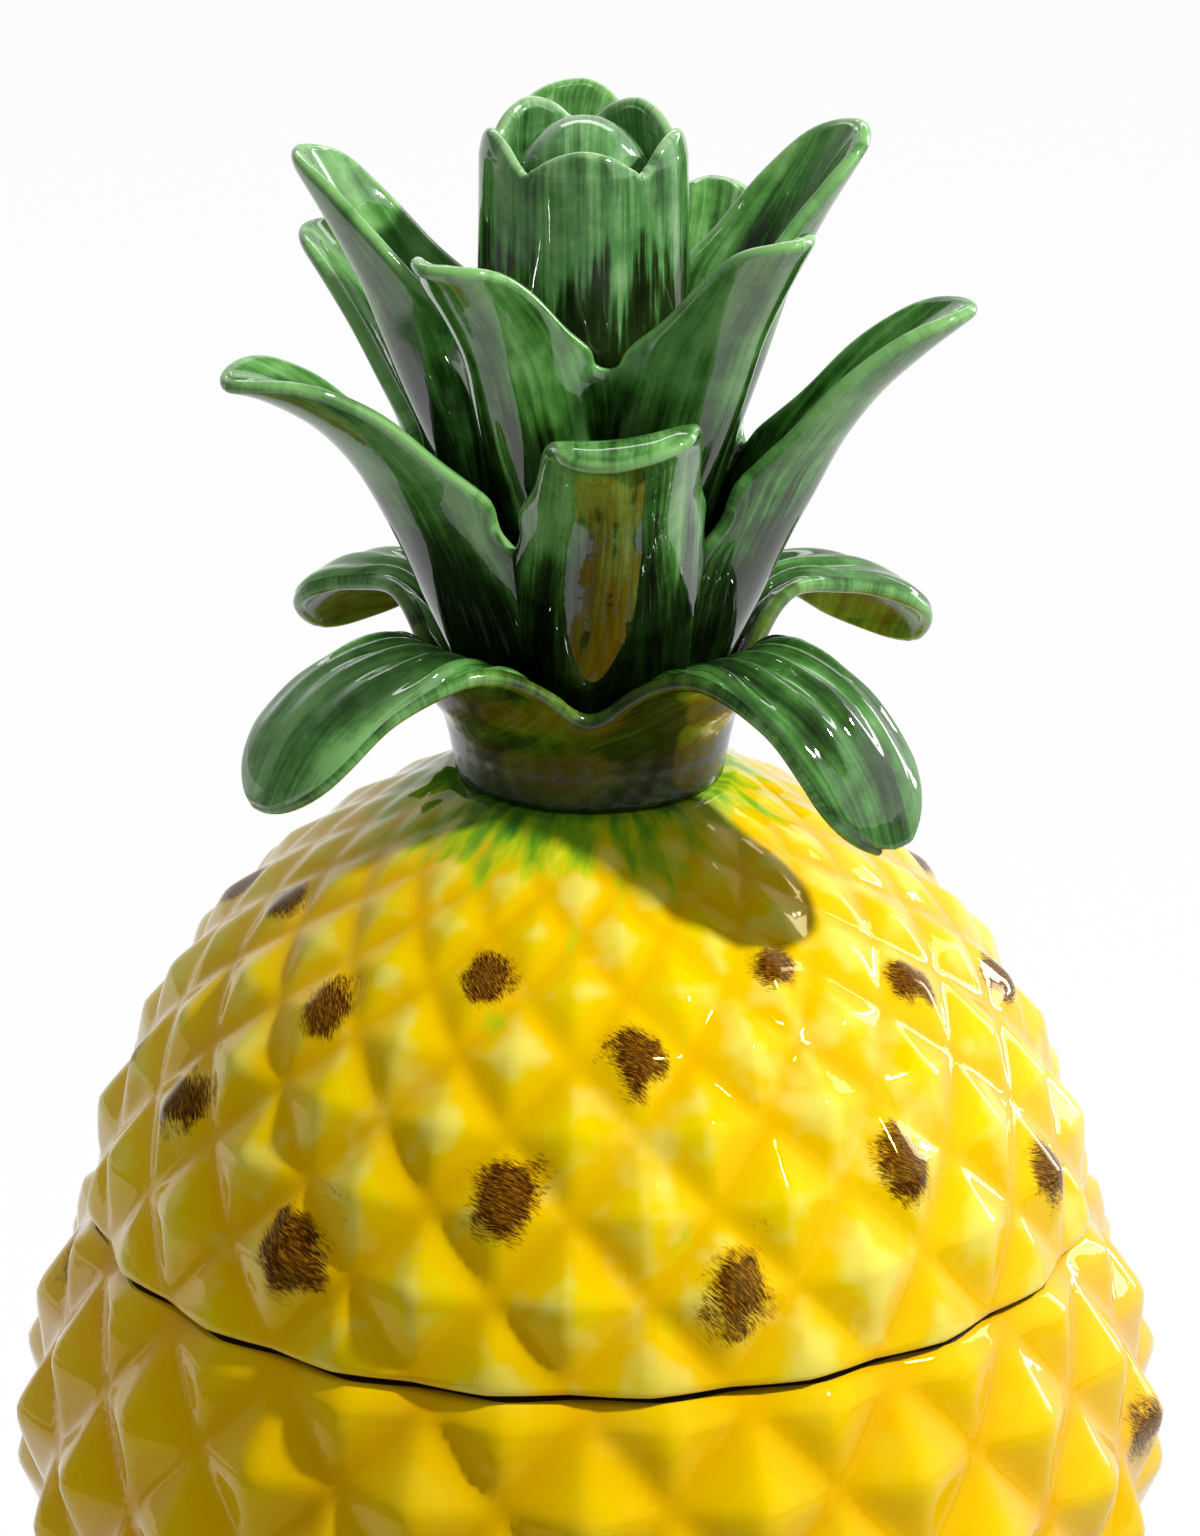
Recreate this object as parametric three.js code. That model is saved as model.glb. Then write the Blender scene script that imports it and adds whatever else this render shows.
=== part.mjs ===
// Glazed ceramic jar in the form of a pineapple: a pot, a domed lid that lifts off, and a crown of leaves
// fixed to the lid. Millimetres, +Z up. The origin is the centre of the foot's resting plane, and -Y is
// the front. Azimuths are degrees from the front, positive towards +X.

import * as THREE from "three";

// Fits
const GAP = 0.3; // joint line between pieces that touch
const RING_CLEARANCE = 1.2; // all round, between the locating ring and the pot's mouth

// Pot
const POT_HEIGHT = 172.5; // foot to rim
const RIM_RADIUS = 100.4; // at the bottom of the relief's valleys, as are the next two
const BELLY_RADIUS = 112.2;
const FOOT_TOP_RADIUS = 72;
const BELLY_HEIGHT = 116;
const FOOT_HEIGHT = 6;
const FOOT_RADIUS = 70;
const FOOT_WIDTH = 9; // of the unglazed ring that the jar stands on
const FOOT_RECESS = 3;
const WALL = 7.5;
const FLOOR = 8; // thickness above the recess
const LIP_ROUNDING = 1; // on the outer edges of the rim and of the lid

// Lid
const NECK_HEIGHT = 265; // level of the flat seat under the crown
const NECK_RADIUS = 28.6;
const LID_EDGE_RISE = 1.5; // from the pot's rim to the lid's outer edge
const RING_WIDTH = 5;
const RING_DEPTH = 10; // how far the locating ring reaches into the pot

// Diamond relief
const DIAMONDS = 20; // round the jar
const RELIEF = 6.4; // apex above valley on the widest diamonds
const LID_ROWS = 9.5; // from the lid's edge to the neck
const LID_ROW_TAPER = 1.4; // how fast the rows close up towards the neck
const POT_ROWS = 9; // from the first crossing of valleys down to the foot
const FIRST_CROSSING = 2.6; // below the pot's rim
const LID_PHASE = -2.3;
const POT_PHASE = -0.4;

// Crown, with heights above the seat
const COLLAR_RADIUS = 28.2;
const LEAF_THICKNESS = 4.4;
const PETAL_THICKNESS = 3.8;
const CORE_HEIGHT = 135.5;
const CORE_SHOULDER = 120; // where the bud's core starts to round over
const LEAF_COLUMNS = 6;

const BODY_SEGMENTS = 2 * DIAMONDS;
const HEIGHTS_PER_SPAN = 2; // rows of faces between two heights given for the free part of a leaf

const radians = THREE.MathUtils.degToRad;
const lerp = THREE.MathUtils.lerp;

const glaze = (color, roughness = 0.12) =>
  new THREE.MeshStandardMaterial({ color, roughness, metalness: 0 });
const POT_YELLOW = glaze(0xf0b800);
const LID_YELLOW = glaze(0xf2cf10);
const RING_CREAM = glaze(0xe9dcae, 0.3);
const LEAF_GREEN = glaze(0x2c6a38);
const BUD_GREEN = glaze(0x357a42);

// A point from its azimuth, radius and height.
function at(azimuth, radius, height) {
  const angle = radians(azimuth);
  return new THREE.Vector3(radius * Math.sin(angle), -radius * Math.cos(angle), height);
}

function meshOf(name, points, faces, material) {
  const geometry = new THREE.BufferGeometry();
  geometry.setAttribute(
    "position",
    new THREE.Float32BufferAttribute(points.flatMap((p) => [p.x, p.y, p.z]), 3),
  );
  geometry.setIndex(faces.flat());
  geometry.computeVertexNormals();
  const mesh = new THREE.Mesh(geometry, material);
  mesh.name = name;
  return mesh;
}

// Closes a run of rings into one skin. Every ring has the same number of points, and the run starts and
// ends with a ring of one point, on the axis. It runs up the outside and down the inside. Each quad is
// split along its diagonal that is nearer the axis, which in the relief is a valley.
function skinOf(name, rings, material) {
  const points = rings.flat();
  const count = BODY_SEGMENTS;
  const fromAxis = (i, j) => Math.hypot(points[i].x, points[i].y) + Math.hypot(points[j].x, points[j].y);
  const faces = [];
  let start = 0;
  rings.slice(0, -1).forEach((ring, row) => {
    const next = start + ring.length;
    for (let k = 0; k < count; k++) {
      const other = (k + 1) % count;
      const [a, b, c, d] = [start + k, start + other, next + other, next + k];
      if (ring.length === 1) faces.push([start, next + other, next + k]);
      else if (rings[row + 1].length === 1) faces.push([a, b, next]);
      else if (fromAxis(b, d) < fromAxis(a, c)) faces.push([a, b, d], [b, c, d]);
      else faces.push([a, b, c], [a, c, d]);
    }
    start = next;
  });
  return meshOf(name, points, faces, material);
}

function ringAt(radius, height) {
  return Array.from({ length: BODY_SEGMENTS }, (_, k) => at((k * 360) / BODY_SEGMENTS, radius, height));
}

const pole = (height) => [new THREE.Vector3(0, 0, height)];

// Height of the relief as a share, 0 in a valley and 1 on an apex. Turn is counted in diamonds round the
// jar and row in crossings of valleys up it; diamonds of neighbouring rows are half a turn apart.
function diamond(turn, row) {
  const fromValley = (x) => Math.abs(x - Math.round(x));
  return 2 * Math.min(fromValley(turn + row / 2), fromValley(turn - row / 2));
}

// A ring on an outline at a share of its length, raised by the relief at that row. The relief is shallower
// where the diamonds are small.
function reliefRing(outline, share, row, phase, { fade = 1, inset = 0, level } = {}) {
  const point = outline.getPointAt(share);
  const along = outline.getTangentAt(share);
  const height = RELIEF * fade * Math.pow(point.x / BELLY_RADIUS, 1.3);
  return Array.from({ length: BODY_SEGMENTS }, (_, k) => {
    const raise = height * diamond(k / 2, row) - inset;
    return at(
      phase + (k * 360) / BODY_SEGMENTS,
      point.x + raise * along.y,
      level ?? point.y - raise * along.x,
    );
  });
}

const potOutline = new THREE.SplineCurve([
  new THREE.Vector2(FOOT_TOP_RADIUS, FOOT_HEIGHT),
  new THREE.Vector2(lerp(FOOT_TOP_RADIUS, BELLY_RADIUS, 0.69), lerp(FOOT_HEIGHT, BELLY_HEIGHT, 0.4)),
  new THREE.Vector2(BELLY_RADIUS, BELLY_HEIGHT),
  new THREE.Vector2(lerp(BELLY_RADIUS, RIM_RADIUS, 0.27), lerp(BELLY_HEIGHT, POT_HEIGHT, 0.53)),
  new THREE.Vector2(RIM_RADIUS, POT_HEIGHT),
]);

// The dome, as shares of the way from its edge up to the neck and of the way from the neck out to its edge.
const DOME = [
  [0, 1],
  [0.18, 0.936],
  [0.35, 0.845],
  [0.51, 0.737],
  [0.67, 0.58],
  [0.84, 0.33],
  [1, 0],
];
const LID_EDGE = POT_HEIGHT + LID_EDGE_RISE;
const domeOutline = new THREE.SplineCurve(
  DOME.map(
    ([up, out]) => new THREE.Vector2(lerp(NECK_RADIUS, RIM_RADIUS, out), lerp(LID_EDGE, NECK_HEIGHT, up)),
  ),
);

// Rings inside an outline, one wall in from it and never outside the given radius.
function innerRings(outline, shares, widest) {
  return shares.map((share) => {
    const point = outline.getPointAt(share);
    const along = outline.getTangentAt(share);
    return ringAt(Math.min(point.x - WALL * along.y, widest), point.y + WALL * along.x);
  });
}

function pot() {
  const length = potOutline.getLength();
  const shareOfRow = (row) => 1 - (FIRST_CROSSING + (row * (length - FIRST_CROSSING)) / POT_ROWS) / length;
  const rows = Array.from({ length: POT_ROWS + 1 }, (_, row) => POT_ROWS - row);
  const rimRow = (-FIRST_CROSSING * POT_ROWS) / (length - FIRST_CROSSING);
  const floorLevel = FOOT_RECESS + FLOOR;
  const floorRadius = potOutline.getPointAt(0.04).x - WALL;
  const inside = [0.95, 0.81, 0.67, 0.53, 0.39, 0.25, 0.12];
  const raised = (share, row, more = {}) =>
    reliefRing(potOutline, share, row, POT_PHASE, { level: potOutline.getPointAt(share).y, ...more });
  return skinOf(
    "pot_body",
    [
      pole(FOOT_RECESS),
      ringAt(FOOT_RADIUS - FOOT_WIDTH, FOOT_RECESS),
      ringAt(FOOT_RADIUS - FOOT_WIDTH, 0),
      ringAt(FOOT_RADIUS, 0),
      ...rows.map((row) => raised(shareOfRow(row), row, { fade: row === POT_ROWS ? 0 : 1 })),
      raised(1 - LIP_ROUNDING / length, rimRow),
      raised(1, rimRow, { inset: LIP_ROUNDING }),
      ringAt(MOUTH_RADIUS, POT_HEIGHT),
      ...innerRings(potOutline, inside, Infinity),
      ringAt(floorRadius, floorLevel),
      pole(floorLevel),
    ],
    POT_YELLOW,
  );
}

const MOUTH_RADIUS = RIM_RADIUS - WALL;
const RING_OUTER_RADIUS = MOUTH_RADIUS - RING_CLEARANCE;
const RING_INNER_RADIUS = RING_OUTER_RADIUS - RING_WIDTH;
const LID_SEAT = POT_HEIGHT + GAP;

// The dome is thickened inside its edge, so that the locating ring has a flat face to be luted to.
function lid() {
  const shareOfRow = (row) => 1 - Math.pow(1 - row / LID_ROWS, LID_ROW_TAPER);
  const rows = Array.from({ length: Math.floor(LID_ROWS) + 1 }, (_, row) => row);
  const inside = [0.85, 0.7, 0.55, 0.4, 0.25, 0.1];
  return skinOf(
    "lid_dome",
    [
      pole(NECK_HEIGHT - WALL),
      ...innerRings(domeOutline, inside, RING_INNER_RADIUS),
      ringAt(RING_INNER_RADIUS, LID_SEAT),
      reliefRing(domeOutline, 0, 0, LID_PHASE, { inset: LIP_ROUNDING, level: LID_SEAT }),
      ...rows.map((row) => reliefRing(domeOutline, shareOfRow(row), row, LID_PHASE)),
      ringAt(NECK_RADIUS, NECK_HEIGHT),
      pole(NECK_HEIGHT),
    ],
    LID_YELLOW,
  );
}

function locatingRing() {
  const [inner, outer] = [RING_INNER_RADIUS, RING_OUTER_RADIUS];
  const [top, bottom] = [LID_SEAT - GAP, POT_HEIGHT - RING_DEPTH];
  const section = [
    [inner, bottom],
    [outer - LIP_ROUNDING, bottom],
    [outer, bottom + LIP_ROUNDING],
    [outer, top],
    [inner, top],
    [inner, bottom],
  ];
  const geometry = new THREE.LatheGeometry(
    section.map(([radius, height]) => new THREE.Vector2(radius, height)),
    BODY_SEGMENTS,
  );
  const mesh = new THREE.Mesh(geometry, RING_CREAM);
  mesh.rotation.x = Math.PI / 2; // lathes turn about Y
  mesh.name = "lid_locating_ring";
  return mesh;
}

// The cups that carry the leaves nest in each other and stand on the lid's seat. Each cup's stem widens
// upwards by the same amount, so that each one touches the next all the way up.
const STEM_FLARE = new THREE.SplineCurve(
  [
    [0, 0],
    [9, 0.1],
    [19, 1.9],
    [28, 2.8],
    [52, 3.2],
    [76, 5],
    [90, 6.6],
    [124, 6.2],
  ].map(([height, flare]) => new THREE.Vector2(height, flare)),
);
function stemFlare(height) {
  const steps = 200;
  const point = STEM_FLARE.getPoints(steps).find((p) => p.x >= height);
  return point ? point.y : STEM_FLARE.getPoint(1).y;
}

const MIDDLE_STEM_RADIUS = COLLAR_RADIUS - LEAF_THICKNESS - GAP;
const UPPER_STEM_RADIUS = MIDDLE_STEM_RADIUS - LEAF_THICKNESS - GAP;
const BUD_STEM_RADIUS = UPPER_STEM_RADIUS - LEAF_THICKNESS - GAP;
const CORE_STEM_RADIUS = BUD_STEM_RADIUS - PETAL_THICKNESS - GAP;

// Each tier of leaves. Cup rows are [height, how much wider than the stem at the joints between leaves, how
// much wider still at the middle of a leaf]. Free rows are [radius beyond the stem, height, half width,
// how far the edges stand above the middle]. Leaves are [azimuth of the middle, reach, lift and lean]:
// reach stretches the free part outwards, lift raises its tip in mm and lean turns it in degrees.
const LOWER_CUP = [
  [GAP, 0, 0],
  [9, 0, 0],
  [19, 0.6, 0.8],
];
const LOWER_FRONT = [
  [8.8, 27, 19.5, 4],
  [16.8, 32, 16, 0],
  [25.8, 33, 13.5, -3],
  [35.3, 30.5, 13.5, -4],
  [42.8, 24, 13, -4],
  [47.3, 16, 10, -3],
  [49.3, 9, 5, -1],
];
const LOWER_BACK = [
  [8.8, 24, 18.5, 4],
  [15.8, 28, 15, 0],
  [24.8, 29, 13, -3],
  [33.3, 27.5, 13, -4],
  [40.3, 23.5, 12, -4],
  [45.3, 18, 9, -3],
  [47.8, 13.5, 5, -1],
];
const UPPER_BROAD = [
  [27.2, 100, 14, 12],
  [32.2, 109, 13.5, 7.5],
  [36.7, 116, 12, 4.5],
  [39.7, 120, 9, 2.5],
  [41.2, 122.5, 4.5, 1],
];

const TIERS = {
  lower: {
    stem: COLLAR_RADIUS,
    half: 45,
    thickness: LEAF_THICKNESS,
    cup: LOWER_CUP,
    leaves: {
      lower_leaf_front_left: { free: LOWER_FRONT, place: [-45, 1.03, 1, -8] },
      lower_leaf_front_right: { free: LOWER_FRONT, place: [45, 0.98, -7, 5] },
      lower_leaf_back_left: { free: LOWER_BACK, place: [-135, 0.94, 0, 3] },
      lower_leaf_back_right: { free: LOWER_BACK, place: [135, 1.09, -3, -8] },
    },
  },
  middle: {
    stem: MIDDLE_STEM_RADIUS,
    half: 36,
    thickness: LEAF_THICKNESS,
    cup: [
      [GAP, 0, 0],
      [9, 0, 0],
      [19, 0, 0],
      [28, 1.2, 2],
      [39, 3.1, 5],
      [50, 5.4, 7.5],
      [60, 6.9, 10.5],
    ],
    free: [
      [27, 71, 17.5, 9],
      [34.5, 80.5, 15.5, 6.5],
      [43, 87.5, 12.5, 5],
      [49.5, 91.5, 8.5, 3],
      [53.5, 93, 4, 1],
    ],
    leaves: {
      middle_leaf_front: { place: [10, 1, -4, -3] },
      middle_leaf_left: { place: [-62, 1, -3, 0] },
      middle_leaf_back_left: { place: [-134, 1, 0, 0] },
      middle_leaf_right: { place: [82, 1, 5, 0] },
      middle_leaf_back_right: { place: [154, 1, 4, 6] },
    },
  },
  upper: {
    stem: UPPER_STEM_RADIUS,
    half: 36,
    thickness: LEAF_THICKNESS,
    cup: [
      [GAP, 0, 0],
      [9, 0, 0],
      [19, 0, 0],
      [28, 0, 0],
      [40, 0, 0.8],
      [52, 0, 4],
      [67, 0, 9],
      [78, 0, 13],
      [90, 0, 16.5],
    ],
    free: [
      [27.2, 100, 14, 12],
      [32.2, 109, 12.5, 7.5],
      [36.7, 116, 10.5, 5],
      [39.7, 120, 7, 3],
      [41.2, 122.5, 3.5, 1],
    ],
    leaves: {
      upper_leaf_front_left: { place: [-27, 0.93, -4, -6] },
      upper_leaf_front_right: { place: [45, 1, 0, -2] },
      upper_leaf_left: { place: [-99, 1.03, 1, -4] },
      upper_leaf_right: { free: UPPER_BROAD, place: [117, 1, 3, -4] },
      upper_leaf_back: { free: UPPER_BROAD, place: [189, 1, 1, -7] },
    },
  },
  bud: {
    stem: BUD_STEM_RADIUS,
    half: 36,
    thickness: PETAL_THICKNESS,
    cup: [
      [GAP, 0, 0],
      [9, 0, 0],
      [19, 0, 0],
      [28, 0, 0],
      [52, 0, 0],
      [76, 0, 0],
      [90, 0, 0.3],
      [108, -0.2, 0.6],
      [123, -0.6, 0.8],
    ],
    free: [
      [6.3, 127, 10.5, 3],
      [5.7, 131, 8, 2],
      [4.8, 134, 4, 0.6],
    ],
    leaves: {
      bud_petal_front: { place: [0, 1, 0, 0] },
      bud_petal_left: { place: [-72, 1, 0, 0] },
      bud_petal_back_left: { place: [-144, 1, 1.5, 0] },
      bud_petal_right: { place: [72, 1, 0, 0] },
      bud_petal_back_right: { place: [144, 1, 1.5, 0] },
    },
  },
};

// A smooth run through rows of numbers, with some steps between each two of them.
function smoothed(rows, steps) {
  const ends = [
    rows[0].map((x, i) => 2 * x - rows[1][i]),
    ...rows,
    rows.at(-1).map((x, i) => 2 * x - rows.at(-2)[i]),
  ];
  const run = [];
  for (let span = 1; span < rows.length; span++)
    for (let step = 0; step < steps; step++) {
      const t = step / steps;
      run.push(
        rows[0].map((_, i) => {
          const [a, b, c, d] = [ends[span - 1][i], ends[span][i], ends[span + 1][i], ends[span + 2][i]];
          const [bend, turn] = [2 * a - 5 * b + 4 * c - d, 3 * b - a - 3 * c + d];
          return (2 * b + (c - a) * t + bend * t * t + turn * t ** 3) / 2;
        }),
      );
    }
  run.push(rows.at(-1));
  return run;
}

// The leaf's rows as [radius, height, half width, fold, share of the fold that is across the leaf].
function leafRows(tier, free, [, reach, lift]) {
  const half = radians(tier.half);
  const cup = tier.cup.map(([height, joint, middle]) => {
    const valley = tier.stem + stemFlare(height) + joint;
    const radius = valley + middle;
    return [radius, height, valley * Math.sin(half), radius - valley * Math.cos(half), 0];
  });
  const root = cup.at(-1);
  const blade = free.map(([out, height, width, fold], i) => {
    const along = (i + 1) / free.length;
    const radius = root[0] + (tier.stem + out - root[0]) * reach;
    return [radius, height + lift * along ** 1.5, width, fold, Math.min(1, (i + 1) / 2)];
  });
  const bent = smoothed([cup.at(-2), root, ...blade], HEIGHTS_PER_SPAN).slice(HEIGHTS_PER_SPAN);
  return { rows: [...cup.slice(0, -1), ...bent], roots: cup.length };
}

// One leaf: a slab that is part of its tier's cup up to the notch beside it, and free beyond that. The
// section across it is an arc, from edge to edge through the middle.
function leaf(name, tier, free, place, material) {
  const [azimuth, , , lean] = place;
  const { rows, roots } = leafRows(tier, free, place);
  const arc = radians(tier.half);
  const columns = Array.from({ length: LEAF_COLUMNS + 1 }, (_, j) => (2 * j) / LEAF_COLUMNS - 1);
  const outer = rows.map(([radius, height, width, fold, across], i) => {
    const next = rows[Math.min(i + 1, rows.length - 1)];
    const last = rows[Math.max(i - 1, 0)];
    const along = new THREE.Vector2(next[0] - last[0], next[1] - last[1]).normalize();
    const inwards = new THREE.Vector2(across - 1 - across * along.y, across * along.x).normalize();
    const beyond = Math.max(0, (i - roots + 1) / (rows.length - roots));
    const side = azimuth + lean * beyond ** 1.5;
    const joint = i < roots ? GAP / 2 : 0;
    return columns.map((v) => {
      const aside = (width * Math.sin(arc * v)) / Math.sin(arc) - joint * v;
      const rise = (fold * (1 - Math.cos(arc * v))) / (1 - Math.cos(arc));
      const out = radius + rise * inwards.x;
      return at(side, out, height + rise * inwards.y).addScaledVector(at(side + 90, 1, 0), aside);
    });
  });
  const inner = outer.map((row, i) =>
    row.map((point, j) => {
      if (i < roots && (j === 0 || j === LEAF_COLUMNS)) {
        const edge = azimuth + (j ? tier.half : -tier.half);
        return point.clone().addScaledVector(at(edge, 1, 0), -tier.thickness);
      }
      const up = outer[Math.min(i + 1, outer.length - 1)][j].clone().sub(outer[Math.max(i - 1, 0)][j]);
      const over = row[Math.min(j + 1, LEAF_COLUMNS)].clone().sub(row[Math.max(j - 1, 0)]);
      return point.clone().addScaledVector(up.cross(over).normalize(), tier.thickness);
    }),
  );
  const width = LEAF_COLUMNS + 1;
  const points = [...outer.flat(), ...inner.flat()].map((p) => p.setZ(p.z + NECK_HEIGHT));
  const back = outer.length * width;
  const faces = [];
  const quad = (a, b, c, d) => faces.push([a, b, c], [a, c, d]);
  for (let i = 0; i < outer.length - 1; i++)
    for (let j = 0; j < LEAF_COLUMNS; j++) {
      const [a, b, c, d] = [i * width + j, i * width + j + 1, (i + 1) * width + j + 1, (i + 1) * width + j];
      quad(a, b, c, d);
      quad(back + d, back + c, back + b, back + a);
    }
  for (let i = 0; i < outer.length - 1; i++) {
    const [low, high] = [i * width, (i + 1) * width];
    quad(low, high, back + high, back + low);
    quad(back + low + LEAF_COLUMNS, back + high + LEAF_COLUMNS, high + LEAF_COLUMNS, low + LEAF_COLUMNS);
  }
  const tip = (outer.length - 1) * width;
  for (let j = 0; j < LEAF_COLUMNS; j++) {
    quad(back + j, back + j + 1, j + 1, j);
    quad(tip + j, tip + j + 1, back + tip + j + 1, back + tip + j);
  }
  return meshOf(name, points, faces, material);
}

function leavesOf(tier, material) {
  return Object.entries(tier.leaves).map(([name, { free = tier.free, place }]) =>
    leaf(name, tier, free, place, material),
  );
}

// The heart of the bud fills the petals' cup and rounds over at the top.
function budCore() {
  const levels = [GAP, 9, 19, 28, 52, 76, 90, 108, CORE_SHOULDER];
  const side = levels.map((height) => [CORE_STEM_RADIUS + stemFlare(height) - GAP, height]);
  const [shoulder, crest] = [side.at(-1)[0], CORE_HEIGHT - CORE_SHOULDER];
  const dome = [18, 36, 54, 72].map((turn) => [
    shoulder * Math.cos(radians(turn)),
    CORE_SHOULDER + crest * Math.sin(radians(turn)),
  ]);
  const outline = [[0, GAP], ...side, ...dome, [0, CORE_HEIGHT]];
  const geometry = new THREE.LatheGeometry(
    outline.map(([radius, height]) => new THREE.Vector2(radius, height + NECK_HEIGHT)),
    BODY_SEGMENTS / 2,
  );
  const mesh = new THREE.Mesh(geometry, BUD_GREEN);
  mesh.rotation.x = Math.PI / 2; // lathes turn about Y
  mesh.name = "bud_core";
  return mesh;
}

const crown = new THREE.Group();
crown.add(
  ...leavesOf(TIERS.lower, LEAF_GREEN),
  ...leavesOf(TIERS.middle, LEAF_GREEN),
  ...leavesOf(TIERS.upper, LEAF_GREEN),
  ...leavesOf(TIERS.bud, BUD_GREEN),
  budCore(),
);

const liftingLid = new THREE.Group();
liftingLid.add(lid(), locatingRing(), crown);

const jar = new THREE.Group();
jar.add(pot(), liftingLid);

export default jar;
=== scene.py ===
import math

import bmesh
import bpy
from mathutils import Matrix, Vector


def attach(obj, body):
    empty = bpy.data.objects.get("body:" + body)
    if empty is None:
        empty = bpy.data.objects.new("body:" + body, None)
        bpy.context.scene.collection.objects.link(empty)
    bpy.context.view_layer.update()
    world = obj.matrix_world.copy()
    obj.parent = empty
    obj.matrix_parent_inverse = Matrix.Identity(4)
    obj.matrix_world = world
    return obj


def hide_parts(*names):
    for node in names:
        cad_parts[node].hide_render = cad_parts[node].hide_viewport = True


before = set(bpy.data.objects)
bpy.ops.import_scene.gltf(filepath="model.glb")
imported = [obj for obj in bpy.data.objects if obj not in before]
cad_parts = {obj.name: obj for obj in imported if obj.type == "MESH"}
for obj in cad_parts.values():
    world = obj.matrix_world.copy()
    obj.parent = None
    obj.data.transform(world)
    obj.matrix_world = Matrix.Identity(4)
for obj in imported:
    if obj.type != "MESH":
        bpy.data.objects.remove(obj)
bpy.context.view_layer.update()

# The camera is a long lens a good step back from the table, looking down on the jar's neck, so that
# the lid is seen a little from above and the pot's foot is below the picture.
NECK = 0.265
CAMERA_DISTANCE = 1.7
CAMERA_TILT = math.radians(20.6)
CAMERA_ASIDE = 0.002
camera = bpy.data.objects.new("camera", bpy.data.cameras.new("camera"))
bpy.context.scene.collection.objects.link(camera)
camera.data.sensor_width = 36
camera.data.lens = 199.6
camera.location = (
    CAMERA_ASIDE,
    -CAMERA_DISTANCE * math.cos(CAMERA_TILT),
    NECK + CAMERA_DISTANCE * math.sin(CAMERA_TILT),
)
camera.rotation_euler = (math.pi / 2 - CAMERA_TILT, 0, 0)
bpy.context.scene.camera = camera

# The studio is a white table top with a white room behind it and on its right, which the glaze mirrors all
# round the jar's edge. A small key lamp stands high on the right. The two lamps low on the right are only
# mirrored, the panels in front and on the left only light the jar, and the rear panel does both.
bpy.context.scene.view_settings.view_transform = "Standard"


def linear(hexes):
    """The linear colour of sRGB hex digits."""
    parts = [int(hexes[i : i + 2], 16) / 255 for i in (1, 3, 5)]
    return (*[p / 12.92 if p <= 0.04045 else ((p + 0.055) / 1.055) ** 2.4 for p in parts], 1)


def add(tree, kind, inputs=None, stops=None, **settings):
    """Adds a node with its settings. Inputs are values or the sockets that feed them."""
    made = tree.nodes.new("ShaderNode" + kind)
    for name, value in settings.items():
        setattr(made, name, value)
    for name, value in (inputs or {}).items():
        if isinstance(value, bpy.types.NodeSocket):
            tree.links.new(value, made.inputs[name])
        else:
            made.inputs[name].default_value = value
    if stops:
        ramp = made.color_ramp.elements
        while len(ramp) < len(stops):
            ramp.new(0.5)
        for element, (place, color) in zip(ramp, stops):
            element.position = place
            element.color = linear(color)
    return made


def new_material(name):
    """A material and its node tree, which is still empty."""
    material = bpy.data.materials.new(name)
    material.use_nodes = True
    material.node_tree.nodes.clear()
    return material, material.node_tree


def into_scene(name, shape, *materials):
    """Makes an object of the shape, with its materials in the order of their slots."""
    piece = bpy.data.objects.new(name, bpy.data.meshes.new(name))
    shape.to_mesh(piece.data)
    shape.free()
    bpy.context.scene.collection.objects.link(piece)
    for material in materials:
        piece.data.materials.append(material)
    return piece


# Seen straight, the room is white. Mirrored, it is white behind and on the right, and darker in front, high
# up and far on the left.
IN_THE_DARK = 0.15
world = bpy.data.worlds.new("white studio")
bpy.context.scene.world = world
world.use_nodes = True
room = world.node_tree
room.nodes.clear()
ray = add(room, "LightPath")
toward = add(room, "SeparateXYZ", {0: add(room, "TexCoord").outputs["Generated"]})
behind = add(
    room,
    "MapRange",
    {"Value": toward.outputs["Y"], "From Min": 0.04, "From Max": 0.12, "To Max": 0.85},
)
beside = add(
    room,
    "MapRange",
    {"Value": toward.outputs["X"], "From Min": 0.58, "From Max": 0.64, "To Max": 1.1},
)
mirrored = add(room, "Math", {0: behind.outputs[0], 1: beside.outputs[0]}, operation="MAXIMUM")
above = add(
    room,
    "MapRange",
    {"Value": toward.outputs["Z"], "From Min": 0.62, "From Max": 0.72, "To Min": 1.0, "To Max": 0.2},
)
far_left = add(
    room,
    "MapRange",
    {"Value": toward.outputs["X"], "From Min": -0.78, "From Max": -0.50, "To Min": 0.2, "To Max": 1.0},
)
dimmed = add(room, "Math", {0: above.outputs[0], 1: far_left.outputs[0]}, operation="MULTIPLY")
mirrored = add(
    room,
    "Math",
    {0: mirrored.outputs[0], 1: dimmed.outputs[0], 2: IN_THE_DARK},
    operation="MULTIPLY_ADD",
)
seen = add(
    room,
    "Math",
    {0: ray.outputs["Is Camera Ray"], 1: mirrored.outputs[0]},
    operation="MAXIMUM",
)
looked_at = add(
    room,
    "Math",
    {0: ray.outputs["Is Glossy Ray"], 1: ray.outputs["Is Camera Ray"]},
    operation="MAXIMUM",
)
looked_at = add(
    room,
    "Math",
    {0: looked_at.outputs[0], 1: ray.outputs["Is Transmission Ray"]},
    operation="MAXIMUM",
)
fill = add(room, "Background", {"Color": linear("#F4F6FA"), "Strength": 0.19})
backdrop = add(room, "Background", {"Color": linear("#FFFFFF"), "Strength": seen.outputs[0]})
add(
    room,
    "OutputWorld",
    {
        "Surface": add(
            room,
            "MixShader",
            {0: looked_at.outputs[0], 1: fill.outputs[0], 2: backdrop.outputs[0]},
        ).outputs[0]
    },
)

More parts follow.
